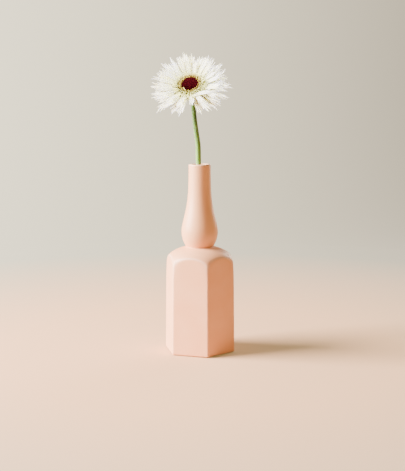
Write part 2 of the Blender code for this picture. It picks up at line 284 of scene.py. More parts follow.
def new_material(name: str) -> tuple[bpy.types.Material, bpy.types.NodeTree, bpy.types.NodeSocket]:
    """A material with an empty node tree but for its object coordinates.

    Args:
        name: what the material is and how its surface was made.

    Returns:
        The material, its node tree, and the socket with places in metres.
    """
    material = bpy.data.materials.new(name)
    material.use_nodes = True
    tree = material.node_tree
    tree.nodes.clear()
    return material, tree, add_node(tree, "ShaderNodeTexCoord").outputs["Object"]


def finish_material(tree: bpy.types.NodeTree, given: dict[str, Any],
                    pattern: bpy.types.NodeSocket | None = None,
                    relief: tuple[float, float] = (0.0, 0.0)) -> None:
    """Ends a material in its shader, with a bump where it has a pattern for one.

    Args:
        tree: the material's node tree.
        given: the Principled shader's inputs by name.
        pattern: the socket with the bump's pattern.
        relief: the bump's strength, and its depth in metres.
    """
    if pattern is not None:
        bump = {"Strength": relief[0], "Distance": relief[1], "Height": pattern}
        given = {**given, "Normal": add_node(tree, "ShaderNodeBump", bump).outputs[0]}
    shader = add_node(tree, "ShaderNodeBsdfPrincipled", given)
    add_node(tree, "ShaderNodeOutputMaterial", {"Surface": shader.outputs[0]})


@dataclass(frozen=True)
class BlushGlaze:
    """Slip-cast stoneware under a satin blush glaze: soft wide highlights, and paler at edges, where the glaze
    thins and a highlight is painted.

    From the shoulder up the colour is a darker tan: painted shade. The foot ring and the hollow are bare clay,
    which in the hollow is also painted shade.
    """

    body: str = "#f2b187"
    cloud: str = "#efaa7e"
    # Darker tan over the shoulder, bulb and neck: painted shade.
    neck: str = "#eeae7e"
    thin_glaze_highlight: str = "#f7cbb0"
    # Bare clay at the foot; in the hollow the same darker colour is painted shade.
    bare_clay_and_shade: str = "#b98a58"
    roughness: float = 0.44
    ior: float = 1.5
    painted_shade_m: tuple[float, float] = (0.108, 0.165)
    cloud_mm: float = 30.0
    speckle_mm: float = 1.1
    orange_peel_mm: float = 2.5
    relief: tuple[float, float] = (0.05, 0.1 * MM)

    def material(self) -> bpy.types.Material:
        """Builds the glaze: clouded colour, painted shade, thin edges with painted highlight, bare clay and a
        faint orange peel.
        """
        made, tree, place = new_material("blush_satin_glaze")
        edge, bare_and_shade = (
            add_node(tree, "ShaderNodeAttribute", {"attribute_name": name}).outputs["Fac"]
            for name in ("edge", "bare_and_shade")
        )
        height = add_node(tree, "ShaderNodeSeparateXYZ", {"Vector": place}).outputs["Z"]
        sizes = ((self.cloud_mm, 3.0), (self.speckle_mm, 1.0), (self.orange_peel_mm, 2.0))
        clouds, specks, peel = (
            add_node(tree, "ShaderNodeTexNoise",
                     {"Vector": place, "Scale": 1 / (size * MM), "Detail": detail}).outputs[0]
            for size, detail in sizes
        )
        colour = layered(tree, self.body, (
            (clouds, 0.35, 0.65, 1.0, self.cloud),
            (height, *self.painted_shade_m, 1.0, self.neck),
            (specks, 0.62, 0.75, 0.35, self.cloud),
            (edge, 0.1, 1.0, 0.7, self.thin_glaze_highlight),
            (bare_and_shade, 0.0, 1.0, 1.0, self.bare_clay_and_shade),
        ))
        given = {"Base Color": colour, "Roughness": self.roughness, "IOR": self.ior}
        finish_material(tree, given, peel, self.relief)
        return made


@dataclass(frozen=True)
class StemSkin:
    """Fleshy green stem: waxy skin, fine ribs along it, darker and olive towards the head, where the darkening
    is painted shade.
    """

    low: str = "#86ae60"
    # Darker towards the head: painted shade under it.
    high: str = "#4e693e"
    streak: str = "#92a954"
    roughness: float = 0.55
    ior: float = 1.38
    shine: float = 0.2
    depths: tuple[float, float, float] = (3.6 * MM, 4.4 * MM, 1.5 * MM)
    turn_m: tuple[float, float] = (0.235, 0.3)
    streak_mm: float = 0.7
    stretch: float = 0.06
    subsurface: float = 1.0
    relief: tuple[float, float] = (0.25, 0.2 * MM)

    def material(self) -> bpy.types.Material:
        """Builds the skin: a colour that darkens with height as painted shade under the head, with streaks
        drawn out along the stem.
        """
        made, tree, place = new_material("fleshy_stem_skin")
        height = add_node(tree, "ShaderNodeSeparateXYZ", {"Vector": place}).outputs["Z"]
        stretch = {"Scale": (1.0, 1.0, self.stretch), "Vector": place}
        drawn = add_node(tree, "ShaderNodeMapping", stretch).outputs[0]
        streaks = {"Vector": drawn, "Scale": 1 / (self.streak_mm * MM), "Detail": 3.0}
        lines = add_node(tree, "ShaderNodeTexNoise", streaks).outputs[0]
        colour = layered(tree, self.low, (
            (height, *self.turn_m, 1.0, self.high),
            (lines, 0.5, 0.75, 0.35, self.streak),
        ))
        given = {"Base Color": colour, "Roughness": self.roughness, "IOR": self.ior,
                 "Specular IOR Level": self.shine, "Subsurface Weight": self.subsurface,
                 "Subsurface Scale": 1.0, "Subsurface Radius": self.depths}
        finish_material(tree, given, lines, self.relief)
        return made


@dataclass(frozen=True)
class PetalTissue:
    """Petal tissue: matte, a little see-through, with fine grooves along it and a yellow-green claw."""

    name: str = "white_ray_tissue"
    claw: str = "#dfe0a0"
    blade: str = "#fbfbee"
    tip: str = "#fefefa"
    tint: str = "#f0e7a4"
    roughness: float = 0.5
    ior: float = 1.4
    depths: tuple[float, float, float] = (0.9 * MM, 0.9 * MM, 0.6 * MM)
    groove_mm: float = 0.55
    claw_share: float = 0.66
    subsurface: float = 0.7
    relief: tuple[float, float] = (0.3, 0.08 * MM)

    def material(self) -> bpy.types.Material:
        """Builds the tissue from the piece's own values: along, across and hue."""
        made, tree, _ = new_material(self.name)
        along, across, hue = (
            add_node(tree, "ShaderNodeAttribute", {"attribute_name": name}).outputs["Fac"]
            for name in ("along", "across", "hue")
        )
        colour = layered(tree, self.claw, (
            (along, 0.05, self.claw_share, 1.0, self.blade),
            (along, 0.6, 1.0, 1.0, self.tip),
            (hue, 0.0, 1.0, 1.0, self.tint),
        ))
        # across is in millimetres, so that a groove keeps its width where the petal narrows.
        turns = {"operation": "MULTIPLY", 0: across, 1: 2 * math.pi / self.groove_mm}
        phase = add_node(tree, "ShaderNodeMath", turns).outputs[0]
        wave = add_node(tree, "ShaderNodeMath", {"operation": "SINE", 0: phase}).outputs[0]
        given = {"Base Color": colour, "Roughness": self.roughness, "IOR": self.ior,
                 "Subsurface Weight": self.subsurface, "Subsurface Scale": 1.0,
                 "Subsurface Radius": self.depths}
        finish_material(tree, given, wave, self.relief)
        return made


@dataclass(frozen=True)
class FloretTissue:
    """Tissue of the small florets: one colour at the foot, another at the tip, mottled floret by floret."""

    name: str
    foot: str
    tip: str
    mottle: str
    roughness: float = 0.6
    ior: float = 1.4
    subsurface: float = 0.1
    depths: tuple[float, float, float] = (0.5 * MM, 0.5 * MM, 0.3 * MM)
    mottle_mm: float = 1.6
    grain_mm: float = 0.4
    relief: tuple[float, float] = (0.2, 0.05 * MM)

    def material(self) -> bpy.types.Material:
        """Builds the tissue from the value along, with blotches about the size of a floret."""
        made, tree, place = new_material(self.name)
        along = add_node(tree, "ShaderNodeAttribute", {"attribute_name": "along"}).outputs["Fac"]
        spots, grain = (
            add_node(tree, "ShaderNodeTexNoise",
                     {"Vector": place, "Scale": 1 / (size * MM), "Detail": 3.0}).outputs[0]
            for size in (self.mottle_mm, self.grain_mm)
        )
        colour = layered(tree, self.foot, (
            (along, 0.2, 0.9, 1.0, self.tip),
            (spots, 0.48, 0.62, 0.7, self.mottle),
        ))
        given = {"Base Color": colour, "Roughness": self.roughness, "IOR": self.ior,
                 "Subsurface Weight": self.subsurface, "Subsurface Scale": 1.0,
                 "Subsurface Radius": self.depths}
        finish_material(tree, given, grain, self.relief)
        return made


@dataclass(frozen=True)
class StudioPaper:
    """Seamless background paper: plain, pale and matte, blush near the vase and greige further off.

    It glows as painted light: faintly near the vase, where the glow lightens the vase's shadow, and fully past
    the flat part, and it is brighter on one side, so that it looks even from all round.
    """

    near: str = "#d3a47f"
    # Faint glow near the vase: painted light that lightens the vase's shadow.
    shade: str = "#4e4c30"
    bright: str = "#fff3d0"
    dim: str = "#9a8f7b"
    unlit: str = "#000000"
    roughness: float = 0.9
    ior: float = 1.45
    glow: float = 2.2
    blend_m: tuple[float, float] = (0.26, 0.8)
    turn_m: tuple[float, float] = (-0.7, 0.6)

    def material(self, side: np.ndarray) -> bpy.types.Material:
        """Builds the paper.

        Args:
            side: level unit vector towards the dimmer side.

        Returns:
            The material.
        """
        made, tree, place = new_material("seamless_studio_paper")
        level = {"operation": "MULTIPLY", 0: place, 1: (1.0, 1.0, 0.0)}
        flat = add_node(tree, "ShaderNodeVectorMath", level).outputs[0]
        radius = add_node(tree, "ShaderNodeVectorMath", {"operation": "LENGTH", 0: flat}).outputs["Value"]
        sideways = {"operation": "DOT_PRODUCT", 0: place, 1: tuple(side)}
        across = add_node(tree, "ShaderNodeVectorMath", sideways).outputs["Value"]
        lit = layered(tree, self.bright, [(across, *self.turn_m, 1.0, self.dim)])
        colour = layered(tree, self.near, [(radius, *self.blend_m, 1.0, self.unlit)])
        glow = layered(tree, self.shade, [(radius, *self.blend_m, 1.0, lit)])
        finish_material(tree, {"Base Color": colour, "Emission Color": glow, "Emission Strength": self.glow,
                               "Roughness": self.roughness, "IOR": self.ior})
        return made


# ---------------------------------------------------------------- vase


@dataclass
class Vase:
    """The bottle vase: a six-sided body under a turned dome, then a turned bulb and neck, hollow all through.

    Lengths are in metres. A face of the body looks along -Y and another along +Y.
    """

    flat_to_flat: float = 81.0 * MM
    face_lean: float = 1.1 * MM
    body_height: float = 110.5 * MM
    shoulder_rise: float = 25.7 * MM
    shoulder_fullness: float = 2.2
    waist_radius: float = 17.0 * MM
    bulb_rise: float = 19.8 * MM
    bulb_radius: float = 23.2 * MM
    neck_spread: float = 29.5 * MM
    neck_fall: float = 1.7
    mouth_radius: float = 14.0 * MM
    height: float = 240.0 * MM
    wall: float = 4.0 * MM
    floor: float = 5.0 * MM
    lip_round: float = 1.5 * MM
    foot_round: float = 1.6 * MM
    foot_ring: float = 0.7 * MM
    corner_round: float = 2.2 * MM
    arch_round: float = 2.6 * MM
    # Below the dome, the turned shape widens by this share of the depth, so that it runs in with no step.
    low_widening: float = 0.15
    # The corners and the lip are paler, for thinner glaze and as a painted highlight: greatest share, and how
    # far it spreads.
    corner_thinning_highlight: float = 0.45
    corner_spread: float = 2.2 * DEG
    lip_spread: float = 1.2 * MM
    # Bare clay fades out above the foot and below the lip between these distances; in the hollow its darker
    # colour is also painted shade.
    bare_foot: tuple[float, float] = (0.6 * MM, 1.1 * MM)
    bare_and_shade_mouth: tuple[float, float] = (1.0 * MM, 0.2 * MM)
    corner_half: float = 3.2
    corner_columns: int = 8
    flat_columns: int = 14
    arc_rows: int = 7
    body_rows: int = 26
    neck_rows: int = 60
    dome_rows: tuple[int, int] = (90, 40)
    glaze: BlushGlaze = field(default_factory=BlushGlaze)

    def columns(self) -> np.ndarray:
        """Bearings of the columns: in each sixth, close ones over the rounded corner, then the flat's."""
        half = self.corner_half
        corner = np.linspace(-half, half, self.corner_columns, endpoint=False)
        flat = np.linspace(half, 60 - half, self.flat_columns, endpoint=False)
        return (np.concatenate([corner, flat]) + 60 * np.arange(6)[:, None]).ravel() * DEG

    def off_corner(self, bearing: np.ndarray) -> np.ndarray:
        """Angles between bearings and the corner nearest to each."""
        return np.abs((bearing + 30 * DEG) % (60 * DEG) - 30 * DEG)

    def apothem(self, z: np.ndarray, inset: np.ndarray | float) -> np.ndarray:
        """Distance from the axis to a face at a height: falls evenly with height, less the inset."""
        return self.flat_to_flat / 2 - self.face_lean * np.clip(z / self.body_height, 0, 1) - inset

    def hexagon(self, bearing: np.ndarray, apothem: np.ndarray) -> np.ndarray:
        """Radius of a rounded hexagon: apothem over cosine on a flat, and a circle's arc at a corner.

        Args:
            bearing: (columns,) angles.
            apothem: (rows, 1) distances to the faces.

        Returns:
            (rows, columns) radii.
        """
        off_corner = self.off_corner(bearing)
        rounding = self.corner_round
        centre = (apothem - rounding) / math.cos(30 * DEG)
        turn = np.arctan2(rounding * 0.5, centre + rounding * math.cos(30 * DEG))
        arc = centre * np.cos(off_corner)
        arc = arc + np.sqrt(np.clip(rounding**2 - (centre * np.sin(off_corner)) ** 2, 0, None))
        return np.where(off_corner < turn, arc, apothem / np.cos(30 * DEG - off_corner))

    def dome_radius(self, inset: float) -> float:
        """Radius of the turned shoulder where it meets the corners."""
        return float(self.apothem(np.array(self.body_height), inset)) / math.cos(30 * DEG)

    def dome_height(self, radius: np.ndarray | float, inset: float) -> np.ndarray:
        """Height of the dome at a radius: a superellipse that is upright at the corners.

        Args:
            radius: distance from the axis.
            inset: distance in from the outside.

        Returns:
            The height above the foot.
        """
        share = (radius / self.dome_radius(inset)) ** self.shoulder_fullness
        rise = (self.shoulder_rise - inset) * (1 - share) ** (1 / self.shoulder_fullness)
        return self.body_height + rise

    def profile(self, inset: float, dome_rows: int) -> np.ndarray:
        """The turned profile from where the dome starts up to the lip.

        The dome is a superellipse, the bulb's underside an ellipse's arc, and the neck a bell curve from the
        bulb to the mouth. The lip is a quarter circle.

        Args:
            inset: distance in from the outside.
            dome_rows: points on the dome.

        Returns:
            (rows, 2) radii and heights, from the corners up.
        """
        waist, bulb = self.waist_radius - inset, self.bulb_radius - inset
        widest = float(self.dome_height(self.waist_radius, 0.0)) + self.bulb_rise
        start = self.dome_radius(inset)
        radii = waist + (start - waist) * np.cos(np.linspace(0, math.pi / 2, dome_rows))
        dome = np.stack([radii, self.dome_height(np.minimum(radii, start), inset)], -1)

        end = math.acos(waist / bulb)
        depth = (widest - float(self.dome_height(waist, inset))) / math.sin(end)
        turn = np.linspace(-end, 0, self.neck_rows // 3)[1:]
        under = np.stack([bulb * np.cos(turn), widest + depth * np.sin(turn)], -1)

        z = np.linspace(widest, self.height - self.lip_round, self.neck_rows)[1:]
        fall = np.exp(-(((z - widest) / self.neck_spread) ** self.neck_fall))
        neck = np.stack([self.mouth_radius - inset + (self.bulb_radius - self.mouth_radius) * fall, z], -1)

        side = -1 if inset == 0 else 1
        turn = np.linspace(0, math.pi / 2, self.arc_rows)[1:]
        edge = self.mouth_radius - inset + side * self.lip_round * (1 - np.cos(turn))
        lip = np.stack([edge, self.height - self.lip_round * (1 - np.sin(turn))], -1)
        return np.concatenate([dome, under, neck, lip])

    def wall_surface(self, inset: float, base: float, rows: int) -> tuple[np.ndarray, np.ndarray]:
        """One side of the wall, from its lowest rounded edge up to the lip.

        The radius at each bearing is the smaller of the hexagon's and the turned profile's, with their edge
        rounded by a smooth minimum: the smaller one, less a quarter of the rounding times the square of how
        near the two are.

        Args:
            inset: 0 for the outside, and the wall's thickness for the inside.
            base: height of the flat that the side rises from.
            rows: points on the dome.

        Returns:
            (rows, columns, 3) points, and (rows, columns) nearness to an edge from 0 to 1.
        """
        turn = np.linspace(0, math.pi / 2, self.arc_rows)
        foot_z = base + self.foot_round * (1 - np.cos(turn))
        foot_in = self.foot_round * (1 - np.sin(turn))
        if inset == 0:
            foot_z = np.concatenate([[base, base + self.foot_ring], foot_z + self.foot_ring])
            foot_in = np.concatenate([np.full(2, self.foot_round + self.foot_ring), foot_in])
        share = np.linspace(0, 1, self.body_rows)[1:-1]
        body_z = foot_z[-1] + (self.body_height - foot_z[-1]) * (1 - (1 - share) ** 1.6)
        low_z = np.concatenate([foot_z, body_z])
        low_in = np.concatenate([foot_in, np.zeros(len(body_z))])
        low_r = self.dome_radius(inset) + self.low_widening * (self.body_height - low_z)
        upper = self.profile(inset, rows)
        z = np.concatenate([low_z, upper[:, 1]])[:, None]
        turned = np.concatenate([low_r, upper[:, 0]])[:, None]
        sunk = np.concatenate([low_in, np.zeros(len(upper))])[:, None]

        bearing = self.columns()
        flat = self.hexagon(bearing, self.apothem(z, inset + sunk))
        # Where the flats meet the dome, and at the corners, the glaze is paler: thinner glaze and a painted
        # highlight.
        near = np.clip(1 - np.abs(flat - turned) / self.arch_round, 0, 1)
        radius = np.minimum(flat, turned) - near**2 * self.arch_round / 4
        corner = self.corner_thinning_highlight * bell(self.off_corner(bearing), self.corner_spread) * (flat < turned)
        return around(radius, bearing, z), np.maximum(near**2, corner)

    def surface(self) -> Surface:
        """The whole vase as one closed skin: up the outside, over the lip, and down the inside."""
        outside, outer_edge = self.wall_surface(0.0, 0.0, self.dome_rows[0])
        inside, _ = self.wall_surface(self.wall, self.floor, self.dome_rows[1])
        rings = np.concatenate([outside, inside[::-1]])
        height = rings[..., 2]
        edge = np.concatenate([outer_edge, np.zeros(inside.shape[:2])])
        # The lip is paler too: thinner glaze and a painted highlight.
        edge = np.maximum(edge, bell(height - self.height, self.lip_spread))
        bare_and_shade = 1 - smoothstep(*self.bare_foot, height)
        # The whole hollow below the lip takes the darker clay colour: painted shade.
        start, end = (self.height - depth for depth in self.bare_and_shade_mouth)
        bare_and_shade[len(outside) :] = 1 - smoothstep(start, end, height[len(outside) :])
        values = {"edge": edge.ravel(), "bare_and_shade": bare_and_shade.ravel()}
        return Surface(rings.reshape(-1, 3), tube_faces(*rings.shape[:2]), values)

    def build(self) -> bpy.types.Object:
        """Makes the vase's piece, which stands for its solid, and returns it."""
        return add_piece("glazed_vase", self.surface(), self.glaze.material(), "vase")


# ---------------------------------------------------------------- stem


def unit(vectors: np.ndarray) -> np.ndarray:
    """Vectors scaled to length one."""
    return vectors / np.linalg.norm(vectors, axis=-1, keepdims=True)


@dataclass
class Stem:
    """The flower's stem: from the vase's floor, over the front of the mouth, to the bent neck under the head.

    Lengths are in metres. The places above the mouth are measured from where the stem leans on it.
    """

    vase: Vase
    radius: float = 3.1 * MM
    skin_radius: float = 3.25 * MM
    top_radius: float = 2.8 * MM
    taper: tuple[float, float] = (18.0 * MM, 55.0 * MM)
    clearance: float = 0.3 * MM
    foot: tuple[float, float] = (-1.5 * MM, 14.0 * MM)
    rest_heading: float = -85.0 * DEG
    above_mouth_mm: tuple[tuple[float, float, float], ...] = (
        (0.05, -1.9, 24.0),
        (-1.4, -3.2, 37.0),
        (-2.8, -4.4, 49.5),
        (-3.9, -5.6, 62.0),
        (-4.2, -7.5, 73.0),
        (-3.4, -10.2, 83.0),
    )
    straight_neck: float = 9.0 * MM
    face_heading: float = -86.0 * DEG
    face_rise: float = 43.0 * DEG
    # Waves round the skin: depth as a share of the radius, their number, and radians of wander in a metre.
    ribs: Marks = ((0.022, 9, 14), (0.012, 2, 40))
    skin: StemSkin = field(default_factory=StemSkin)

    def facing(self) -> np.ndarray:
        """The way that the flower's face looks, as a unit vector."""
        level = math.cos(self.face_rise)
        heading = self.face_heading
        return np.array([math.cos(heading) * level, math.sin(heading) * level, math.sin(self.face_rise)])

    def route(self) -> np.ndarray:
        """The places that the stem passes through, from its foot to its top end."""
        reach = self.vase.mouth_radius - self.vase.wall - self.radius - self.clearance
        heading = self.rest_heading
        mouth = np.array([math.cos(heading) * reach, math.sin(heading) * reach, self.vase.height])
        lean = math.atan2(math.dist(mouth[:2], self.foot), self.vase.height - self.vase.floor)
        low = self.vase.floor + self.clearance + self.radius * math.sin(lean)
        foot = np.array([*self.foot, low])
        above = mouth + np.array(self.above_mouth_mm) * MM
        top = above[-1] + self.facing() * self.straight_neck
        return np.array([foot, (foot + mouth) / 2, mouth, *above, top])

    def centre_line(self, rows: int) -> tuple[np.ndarray, np.ndarray]:
        """Points of the Catmull-Rom curve through the route, closer together towards the top.

        Args:
            rows: number of points.

        Returns:
            (rows, 3) points, and their distances from the top end.
        """
        route = self.route()
        guides = np.concatenate([[2 * route[0] - route[1]], route, [2 * route[-1] - route[-2]]])
        a, b, c, d = (guides[i : len(guides) - 3 + i, None] for i in range(4))
        t = np.linspace(0, 1, 24, endpoint=False)[None, :, None]
        bend = (2 * a - 5 * b + 4 * c - d) * t**2 + (3 * b - 3 * c + d - a) * t**3
        fine = np.concatenate([((2 * b + (c - a) * t + bend) / 2).reshape(-1, 3), route[-1:]])
        along = np.concatenate([[0], np.cumsum(np.linalg.norm(np.diff(fine, axis=0), axis=1))])
        wanted = along[-1] * (1 - (1 - np.linspace(0, 1, rows)) ** 1.4)
        points = np.stack([np.interp(wanted, along, fine[:, k]) for k in range(3)], -1)
        return points, along[-1] - wanted

    def surface(self, rows: int = 90, columns: int = 28) -> Surface:
        """The stem's skin: a tube along the centre line with nine low ribs that wander slightly round it.

        Args:
            rows: number of rings.
            columns: number of points on a ring.

        Returns:
            The closed tube.
        """
        points, left = self.centre_line(rows)
        forward = unit(np.gradient(points, axis=0))
        side = unit(np.cross(forward, [1.0, 0.0, 0.0]))
        other = np.cross(side, forward)
        size = np.interp(left, self.taper, [self.top_radius, self.skin_radius])[:, None]
        turn = np.linspace(0, 2 * math.pi, columns, endpoint=False)[None]
        waves = sum(
            depth * np.cos(number * turn + wander * left[:, None]) for depth, number, wander in self.ribs
        )
        radius = (size * (1 + waves))[..., None]
        ring = points[:, None] + radius * (
            np.cos(turn)[..., None] * other[:, None] + np.sin(turn)[..., None] * side[:, None]
        )
        return Surface(ring.reshape(-1, 3), tube_faces(rows, columns))

    def build(self) -> bpy.types.Object:
        """Makes the stem's piece, which stands for its solid, and returns it."""
        return add_piece("ribbed_stem", self.surface(), self.skin.material(), "stem")


# ---------------------------------------------------------------- flower head


@dataclass
class HeadFrame:
    """The flower head's own frame: +Z out of its face, +Y up the face, origin on the receptacle's top.

    Lengths are in metres.
    """

    stem: Stem
    receptacle_radius: float = 14.5 * MM
    receptacle_side: float = 6.8 * MM
    receptacle_cup: float = 6.2 * MM
    neck_radius: float = 4.0 * MM
    clearance: float = 0.3 * MM

    def axes(self) -> np.ndarray:
        """The frame's X, Y and Z axes as rows."""
        out = self.stem.facing()
        heading = self.stem.face_heading
        right = np.array([-math.sin(heading), math.cos(heading), 0.0])
        return np.array([right, np.cross(out, right), out])

    def origin(self) -> np.ndarray:
        """The frame's origin: the receptacle's height above the stem's end."""
        height = self.receptacle_side + self.receptacle_cup + self.clearance
        return self.stem.route()[-1] + self.stem.facing() * height

    def to_row(self, points: np.ndarray) -> np.ndarray:
        """Points of the head's frame in the model's frame."""
        return points @ self.axes() + self.origin()

    def from_row(self, points: np.ndarray) -> np.ndarray:
        """Points of the model's frame in the head's frame."""
        return (points - self.origin()) @ self.axes().T
    def add(self, name: str, surface: Surface, material: bpy.types.Material, slot: Slot,
            node: str | None = None) -> bpy.types.Object:
        """Makes a piece of a surface given in the head's frame.

        Args:
            name: the piece's name.
            surface: its points, faces and values.
            material: its material.
            slot: the record's slot that it stands in; not used.
            node: the solid that it replaces, if there is one.

        Returns:
            The new object.
        """
        surface.points = self.to_row(surface.points)
        return add_piece(name, surface, material, node)


@dataclass
class Ray:
    """One ray: a strap that starts at the receptacle's side and ends in a fringe of pointed lobes.

    Attributes:
        bearing: its bearing in the face.
        start: distance from the head's axis to its base, and height of the base.
        aside: distance of the whole ray from the line through the axis.
        length: along the strap, in metres.
        width: where it is widest, in metres.
        rise: its angle above the face at the base.
        bend: how far it bends back along its length.
        curl: how far its last third curls up.
        sweep: sideways, over the length.
        twist: turn about its own line from base to tip.
        lobes: number of points in the fringe.
        split: share of the length where the fringe starts.
        fan: angle between the outermost lobes.
        hue: share of the warmer tint.
    """

    bearing: float
    start: tuple[float, float]
    length: float
    width: float
    rise: float
    bend: float = 14 * DEG
    curl: float = 0.0
    aside: float = 0.0
    sweep: float = 0.0
    twist: float = 0.0
    lobes: int = 3
    split: float = 0.62
    fan: float = 9 * DEG
    hue: float = 0.0

    rows = 18
    base_share = 0.58
    half_thickness = 0.2 * MM
    trough = 0.13

    def spine(self, along: np.ndarray) -> tuple[np.ndarray, np.ndarray, np.ndarray]:
        """The strap's middle line at shares of its length.

        Its angle is the rise, less an even bend, plus a curl over the last third. The line is the running sum
        of that angle's cosine and sine.

        Args:
            along: shares of the length.

        Returns:
            Distances outwards, heights, and angles.
        """
        fine = np.linspace(0, 1.15, 93)
        angle = self.rise - self.bend * fine + self.curl * smoothstep(0.55, 1.1, fine)
        step = self.length * (fine[1] - fine[0])
        out = np.concatenate([[0], np.cumsum(np.cos(angle[:-1]) * step)])
        up = np.concatenate([[0], np.cumsum(np.sin(angle[:-1]) * step)])
        return tuple(np.interp(along, fine, line) for line in (out, up, angle))

    def surface(self, chance: np.random.Generator) -> Surface:
        """The ray's skin: its lobes lie edge to edge up to the split, and then each draws to its own point.

        Each lobe is a tube of a flat six-sided section. Its middle line keeps its place in the strap's width
        and fans out past the split, and its width falls there with the power 1.4 of the way to its tip.

        Args:
            chance: source of the lobes' small differences.

        Returns:
            The ray in the head's frame.
        """
        count = self.lobes
        order = (np.arange(count) + 0.5) / count - 0.5
        ends = 1.02 - 0.2 * np.abs(order) * 2 + chance.uniform(-0.12, 0.05, count)
        along = np.linspace(0, 1, self.rows)[None] ** 0.9 * ends[:, None]
        grown = smoothstep(0.0, 0.55, along)
        strap = self.width * (self.base_share + (1 - self.base_share) * grown)
        past = np.clip(along - self.split, 0, None)
        way = np.clip(past / (ends[:, None] - self.split), 0, 1)
        fan = (self.fan * order * 2 + chance.uniform(-0.05, 0.05, count))[:, None]
        middle = strap * order[:, None] + self.length * past * np.tan(fan)
        middle = middle + self.sweep * self.length * along**2
        half = strap / (2 * count) * 1.12 * (1 - 0.93 * way**1.9)
        lift = self.length * (chance.uniform(-0.9, 1.1, count)[:, None] * past**2)

        side, over = flat_section(0.45)
        thick = (self.half_thickness * (1 - 0.55 * along))[..., None] * over
        sideways = middle[..., None] + half[..., None] * side
        raised = lift[..., None] + thick
        within = np.clip(np.abs(sideways - self.sweep * self.length * along[..., None] ** 2), 0, self.width)
        raised = raised + self.trough * self.width * (2 * within / self.width) ** 2
        turn = self.twist * along[..., None]
        sideways, raised = (
            sideways * np.cos(turn) - raised * np.sin(turn),
            sideways * np.sin(turn) + raised * np.cos(turn),
        )

        out, up, angle = self.spine(along)
        x = self.start[0] + out[..., None] - raised * np.sin(angle)[..., None]
        z = self.start[1] + up[..., None] + raised * np.cos(angle)[..., None]
        sideways = sideways + self.aside
        cosine, sine = math.cos(self.bearing), math.sin(self.bearing)
        points = np.stack([x * cosine - sideways * sine, x * sine + sideways * cosine, z], -1)
        # The section's points turn against the tube's own way round, so its faces are turned over.
        faces = repeated_faces([f[:, ::-1] for f in tube_faces(self.rows, 6)], self.rows * 6, count)
        values = {
            "along": np.broadcast_to(along[..., None], sideways.shape).ravel(),
            "across": (middle[..., None] + half[..., None] * side).ravel() / MM,
            "hue": np.full(sideways.size, self.hue),
        }
        return Surface(points.reshape(-1, 3), faces, values)


@dataclass(frozen=True)
class Seat:
    """Where a ray grows: its bearing, its base's radius and height, its rise at the base, and its length."""

    bearing: float
    radius: float
    height: float
    rise: float
    length: float


